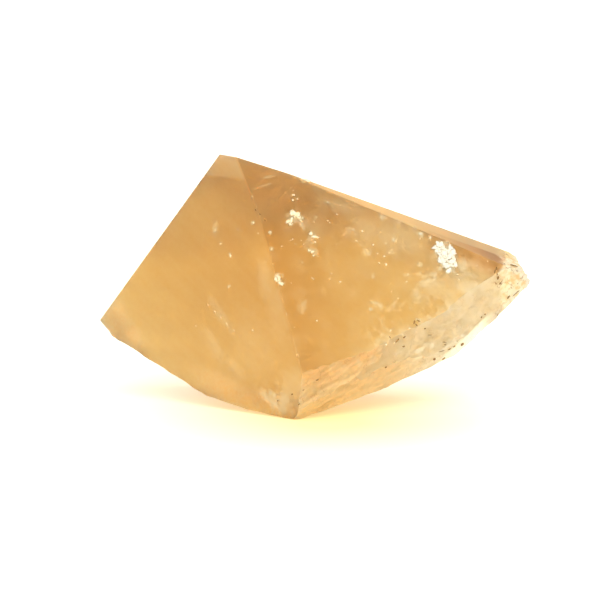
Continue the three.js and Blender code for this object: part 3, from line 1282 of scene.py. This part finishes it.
def drawn_out(place, spots, name, stretch):
    """Noise on a face that is drawn out along the line between two spots of the view."""
    facing = planes[name][0]
    along = on_stone(*spots[1])[0] - on_stone(*spots[0])[0]
    along -= facing * (along @ facing)
    along /= np.linalg.norm(along)
    drawn = laid_out(place, (along, np.cross(facing, along), facing), stretch)
    lines = add(place.id_data, "ShaderNodeTexNoise", Vector=drawn, Scale=1.0, Detail=4.0)
    return spread(lines.outputs[0], 0.36, 0.64)


def streaked(place):
    """Long thin streaks along the break."""
    return drawn_out(place, BREAK_LINE, "front_band", STREAK_STRETCH)


def cracked(place):
    """Crooked dark hairlines with gaps in them."""
    cells = place.id_data.nodes.new("ShaderNodeTexVoronoi")
    cells.feature = "DISTANCE_TO_EDGE"
    plug(cells.inputs["Vector"], bent(place, CRACK_BEND_SIZE, 3.0, CRACK_BEND))
    plug(cells.inputs["Scale"], 1 / (CRACK_SIZE * MM))
    line = spread(cells.outputs["Distance"], CRACK_WIDTH, 0.0)
    return times(line, cloud(place, 1.6, 0.48, 0.6), most(painted(place, "cracks"), crumbly(place)))


# %% [markdown]
# ## Where the stone changes
#
# A few places on the crystal have their own look: a peach strip along the upper edge, a wedge of
# painted brown shade below it, a pale ledge at the rim of the hollow, and a level line near the
# topmost corner, above which the stone is painted paler, as if lit, against the shade below it.
# They could be painted on an image, but each of them follows a face. So each is measured from
# the planes of the faces, which keeps its borders straight and sharp at any zoom.

# %% Places with a look of their own
THIN = (0.05, 0.3)
STRIP_WIDTH = 1.1
LEDGE_WIDTH = 1.05
APEX_EDGE = (-10.8, 17.1)
# Painted light: how much paler the topmost corner is above its level line.
APEX_PAINTED_LIGHT = 0.16


def mottled(place):
    """Faint growth lines and finer spots on the smooth faces."""
    lines = drawn_out(place, GROWTH_LINE, "left_front", GROWTH_STRETCH)
    return blend(0.45, lines, cloud(place, 0.6, 0.3, 0.7))


def bordered(place):
    """The uppermost part of the band, where the break still has the colour of the face above."""
    return times(under(place, "right_front", 0.2, 1.4), cloud(place, 1.6, 0.3, 0.5),
                 painted(place, "broken"), blend(rising(place, 9.0, 16.0), 0.8, 0.0))


def stripped(place):
    """The upper part of the brow, along the ridge."""
    return times(under(place, "brow", *THIN), under(place, "top", STRIP_WIDTH, STRIP_WIDTH + 0.2))


def shade_wedge(place):
    """A wedge of painted brown shade in the lower part of the brow and just under it, towards the
    tip.
    """
    below = minus(under(place, "brow", 0.5, 1.9), under(place, "top", STRIP_WIDTH, STRIP_WIDTH + 0.3))
    return times(below, rising(place, 16.5, 26.0))


def ledged(place):
    """The rim of the hollow, above the edge it shares with the underside of the tip."""
    rim = times(under(place, "under_tip", LEDGE_WIDTH, LEDGE_WIDTH + 0.3),
                under(place, "front_hollow", 0.6, 1.2), rising(place, 16.0, 19.0))
    return minus(rim, rising(place, 25.8, 27.8))


def painted_light_apex(place):
    """Painted light: the topmost corner of the left front face is paler down to a level line, with
    shade below.
    """
    level = float(on_stone(*APEX_EDGE)[0][2])
    up = add(place.id_data, "ShaderNodeSeparateXYZ", place).outputs["Z"]
    above = spread(up, level, level + 0.3 * MM)
    return times(under(place, "left_front", *THIN), above, APEX_PAINTED_LIGHT)


# %% Where the stone is whitened


def veiled(place):
    """Milk that thickens towards the hollow, below the right front face."""
    far = times(under(place, "front_hollow", 0.5, 5.5), cloud(place, 2.2, 0.4, 0.7), 0.7)
    near = times(under(place, "front_hollow", 0.3, 3.4),
                 blend(cloud(place, 1.4, 0.35, 0.6), 0.3, 0.7))
    return minus(times(most(far, near), rising(place, 6.0, 13.0)), under(place, "brow", 1.9, 3.2))


def misty(place):
    """Faint clouds just under the smooth faces, at the front and at the back."""
    front = times(under(place, "right_front", 0.05, 0.4), cloud(place, 3.0, 0.45, 0.75),
                  blend(rising(place, 9.0, 19.0), 0.22, 0.4))
    back = most(*(under(place, name, 0.05, 0.4) for name in BACK_FACES))
    return most(front, times(back, cloud(place, 3.4, 0.5, 0.72), 0.35))


def bruised(place, warm):
    """Where fine cracks whiten the stone: the skin and patches near it, and the painted light at the
    apex.
    """
    border = times(under(place, "front_band", 0.1, 0.9), cloud(place, 1.3, 0.4, 0.62), 0.2)
    patches = most(border, veiled(place), misty(place), milky(place, MILK, RAGGED),
                   milky(place, SOFT_MILK, SOFT))
    patches = minus(patches, milky(place, CLEAR_SPOTS, RAGGED))
    # The apex is painted light, not whitened stone.
    patches = most(patches, warm, crumbly(place), painted_light_apex(place))
    skin = times(painted(place, "bruise"), blend(streaked(place), 0.6, 1.2))
    brink = times(under(place, "right_front", 0.2, 2.6), rising(place, 11.0, 16.0),
                  blend(cloud(place, 1.4, 0.35, 0.6), 0.4, 0.75), painted(place, "broken"))
    return most(skin, brink, patches)


# %% [markdown]
# ## The honey-coloured material
#
# Everything meets here. First the colour of the sound stone is laid down, with its growth lines,
# its strip and painted shade: darker along the front edge, and a brown wedge under the brow. Then
# the colour of the whitened stone is mixed, from cream to rust, and laid over it where the stone
# is bruised, and on the topmost corner as painted light. The same share makes the stone less
# clear there.
# Colour, roughness and clearness could be set apart, but then they would drift out of step.

# %% Colours and shares
STONE_COLOUR = (1.0, 0.88, 0.62, 1)
DEEP_COLOUR = (0.92, 0.77, 0.50, 1)
SHOULDER_COLOUR = (1.0, 0.72, 0.38, 1)
# Painted shade on the right front face, along its edge with the left front face.
FRONT_EDGE_SHADE = (0.93, 0.74, 0.44, 1)
# Painted shade: the brown wedge under the brow.
SHADE_WEDGE_COLOUR = (0.68, 0.36, 0.12, 1)
STRIP_TINT = (0.97, 0.74, 0.43, 1)
PEACH = (1.0, 0.83, 0.60, 1)
BRUISE_COLOUR = (1.0, 0.90, 0.76, 1)
RUSTY_COLOUR = (1.0, 0.65, 0.35, 1)
WARM_COLOUR = (0.84, 0.55, 0.21, 1)
BORDER_COLOUR = (0.86, 0.54, 0.24, 1)
CRUMB_COLOURS = (0.90, 0.66, 0.36, 1), (1.0, 0.94, 0.77, 1)
STRIP_COLOUR = (1.0, 0.73, 0.40, 1)
LEDGE_COLOUR = (1.0, 0.95, 0.80, 1)
CRACK_COLOUR = (0.30, 0.15, 0.04, 1)
HONEY = (0.862, 0.70, 0.27, 1)
HONEY_DENSITY = 115.0
HAZE_DEPTH = 4 * MM
GLOSS = 0.3
GLOSS_TINT = (1.0, 0.76, 0.48, 1)
GROWN_ROUGHNESS = 0.42
BROKEN_ROUGHNESS = 0.45
CLEAR_SHARE = 0.92
BRUISED_SHARE = 0.35
LEDGE_SHARE = 0.1
SHOULDER_WARMTH = 0.1
STRIP_WHITE = 0.3
CRUMB_SIZE = 0.8


# %% The colour of the stone


def sound_colour(place, shoulder, strip):
    """The colour of the stone where it isn't whitened, with painted shade at the front edge and brow.
    """
    colour = blend(mottled(place), DEEP_COLOUR, STONE_COLOUR)
    colour = blend(shoulder, colour, SHOULDER_COLOUR)
    colour = blend(strip, colour, STRIP_TINT)
    # Painted shade: the right front face is darker near its edge with the left front face, as if
    # shaded from inside.
    front_edge_shade = times(under(place, "left_front", 1.0, 7.0), under(place, "right_front", 0.1, 0.4))
    colour = blend(front_edge_shade, colour, FRONT_EDGE_SHADE)
    # Painted shade: a brown wedge under the brow, towards the tip.
    return blend(shade_wedge(place), colour, SHADE_WEDGE_COLOUR)


def whitened_colour(place, pale, warm, strip, ledge):
    """The colour of the whitened stone, which is seldom quite white."""
    white = blend(pale, PEACH, BRUISE_COLOUR)
    white = blend(painted(place, "rust"), white, RUSTY_COLOUR)
    white = blend(times(warm, 4.0), white, WARM_COLOUR)
    white = blend(bordered(place), white, BORDER_COLOUR)
    crumbs = blend(cloud(place, CRUMB_SIZE, 0.36, 0.52), *CRUMB_COLOURS)
    white = blend(crumbly(place), white, crumbs)
    white = blend(strip, white, STRIP_COLOUR)
    return blend(ledge, white, LEDGE_COLOUR)


# %% The topaz material


def topaz_material():
    material, tree, shader = new_material("honey_topaz")
    place = tree.nodes.new("ShaderNodeTexCoord").outputs["Object"]
    shoulder = under(place, "shoulder", *THIN)
    warm = most(times(shoulder, SHOULDER_WARMTH), milky(place, WARM_MILK, SOFTEST))
    broken = painted(place, "broken")
    bruise = times(bruised(place, warm), blend(cloud(place, 0.5, 0.3, 0.7), 0.75, 1.2))
    strip, ledge = stripped(place), ledged(place)
    bruise = most(bruise, times(strip, STRIP_WHITE), ledge)
    white = whitened_colour(place, most(broken, bruise), warm, strip, ledge)
    colour = blend(bruise, sound_colour(place, shoulder, strip), white)
    share = blend(bruise, CLEAR_SHARE, BRUISED_SHARE)
    values = {
        "Base Color": blend(cracked(place), colour, CRACK_COLOUR),
        "Roughness": blend(broken, GROWN_ROUGHNESS, BROKEN_ROUGHNESS),
        "Transmission Weight": blend(ledge, share, LEDGE_SHARE),
        "IOR": TOPAZ_IOR,
        "Specular IOR Level": GLOSS,
        "Specular Tint": GLOSS_TINT,
        "Subsurface Weight": 1.0,
        "Subsurface Radius": (HAZE_DEPTH, HAZE_DEPTH, HAZE_DEPTH),
        "Subsurface Scale": 1.0,
    }
    for name, value in values.items():
        plug(shader.inputs[name], value)
    absorption = add(tree, "ShaderNodeVolumeAbsorption", HONEY, HONEY_DENSITY)
    plug(tree.nodes["Material Output"].inputs["Volume"], absorption.outputs[0])
    return material


def finish_piece(piece, material):
    """Gives a piece its one material and says what it belongs to."""
    piece.data.materials.clear()
    piece.data.materials.append(material)
    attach(piece, "root")


finish_piece(topaz, topaz_material())
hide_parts("topaz_crystal")
print("topaz:", len(topaz.active_material.node_tree.nodes), "nodes in its material")

# %% [markdown]
# ## Air and dirt
#
# Air in a crack turns back almost all the light that meets it, so it looks white, with a tinge
# of honey from the stone around it. A thin clear body would show this truly but be full of
# noise in the render. A pale matt material gives the same look with none. The dirt is rust and
# soil. All of them have two tones in small patches, as nothing natural has just one.

# %% Air in the cracks, and dirt
AIR_WHITE = (0.98, 0.98, 0.97, 1)
AIR_WHITE_DIM = (0.98, 0.92, 0.80, 1)
AIR_PALE = (0.97, 0.90, 0.74, 1)
AIR_DIM = (0.94, 0.74, 0.46, 1)
RUST = (0.50, 0.32, 0.14, 1)
DIRT = (0.16, 0.08, 0.03, 1)


def two_toned(name, colour, dim, roughness, patch_size):
    """A matt material of two tones in small patches."""
    material, tree, shader = new_material(name)
    place = tree.nodes.new("ShaderNodeTexCoord").outputs["Object"]
    plug(shader.inputs["Base Color"], blend(cloud(place, patch_size, 0.35, 0.65), dim, colour))
    plug(shader.inputs["Roughness"], roughness)
    return material


finish_piece(patch, two_toned("open_air", AIR_WHITE, AIR_WHITE_DIM, 0.5, 0.5))
finish_piece(flakes, two_toned("air_in_a_crack", AIR_PALE, AIR_DIM, 0.5, 0.3))
veils = grow_bubbles(sheets, two_toned("bubble", AIR_PALE, AIR_DIM, 0.3, 0.5))
# The first slot is the sheets' own and empty, so the bubbles show the renderer's plain grey.
finish_piece(veils, veils.data.materials[0])
finish_piece(grit, two_toned("iron_stained_dirt", RUST, DIRT, 0.85, 0.15))
print("bubble veils:", len(veils.data.polygons), "faces")

# %% [markdown]
# ## Light
#
# A see-through stone shows the light around it more than its own surface, so it is lit as in a
# white tent. Lamps would be seen in its faces as hard spots. Instead, the whole surroundings
# shine, a little more from above and behind, which leaves the front faces slightly darker.

# %% Soft light
LIGHT_FROM = (0.0, 0.5, 0.866)
LIGHT_COLOUR = (1.0, 0.93, 0.78, 1)
ROOM_LIGHT, BOX_LIGHT = 0.93, 1.58
DIM_FROM, BRIGHT_FROM = -0.3, 0.9


def soft_light():
    """White light all round: dim low in front, and bright above and behind."""
    world = bpy.data.worlds.new("soft_box")
    world.use_nodes = True
    tree = world.node_tree
    way = tree.nodes.new("ShaderNodeTexCoord").outputs["Generated"]
    facing = measure("DOT_PRODUCT", way, LIGHT_FROM)
    shine = tree.nodes["Background"].inputs
    plug(shine["Color"], LIGHT_COLOUR)
    plug(shine["Strength"], spread(facing, DIM_FROM, BRIGHT_FROM, ROOM_LIGHT, BOX_LIGHT))
    return world


# %% [markdown]
# ## Floor
#
# The crystal rests on white paper. Light that has passed through the stone leaves a pale honey
# glow on the paper round its foot. Traced as real focused light it would need far more samples
# than the rest of the picture. So the paper itself is tinted and shines faintly, and both fade
# with the distance from the foot.

# %% Floor
FLOOR_GAP = 0.05 * MM
FLOOR_HALF = 3.0
TABLE_GLOW = 0.52
HONEY_GLOW = (1.0, 0.82, 0.38, 1)
PAPER = (0.83, 0.83, 0.83, 1)
# Painted light and shadow: the paper's honey tint round the foot of the crystal.
GLOW_TINTED_PAPER = (0.83, 0.71, 0.40, 1)
PAPER_ROUGHNESS = 0.9
GLOW_CENTRE = (0.002, -0.022, 0.0)
GLOW_REACH = (4 * MM, 30 * MM)


def paper_material():
    """White paper with a painted honey glow and shadow round the foot of the crystal."""
    material, tree, shader = new_material("white_paper")
    place = tree.nodes.new("ShaderNodeTexCoord").outputs["Object"]
    fade = spread(measure("DISTANCE", place, GLOW_CENTRE), *GLOW_REACH)
    plug(shader.inputs["Base Color"], blend(fade, GLOW_TINTED_PAPER, PAPER))
    plug(shader.inputs["Emission Color"], blend(fade, HONEY_GLOW, LIGHT_COLOUR))
    plug(shader.inputs["Emission Strength"], TABLE_GLOW)
    plug(shader.inputs["Roughness"], PAPER_ROUGHNESS)
    plug(shader.inputs["Specular IOR Level"], 0.0)
    return material


floor_mesh = bpy.data.meshes.new("floor")
floor_corners = [(-1, -1), (1, -1), (1, 1), (-1, 1)]
floor_corners = [(x * FLOOR_HALF, y * FLOOR_HALF, -FLOOR_GAP) for x, y in floor_corners]
floor_mesh.from_pydata(floor_corners, [], [(0, 1, 2, 3)])
floor_mesh.materials.append(paper_material())
floor = new_object("floor", floor_mesh)
print("floor:", 2 * FLOOR_HALF, "m wide")

# %% Switch on the light
# Light is turned many times inside a clear stone, so the rays may bounce more often than usual.
BOUNCES = 48
scene = bpy.context.scene
scene.view_settings.view_transform = "Standard"
scene.world = soft_light()
scene.cycles.max_bounces = BOUNCES
scene.cycles.transmission_bounces = BOUNCES
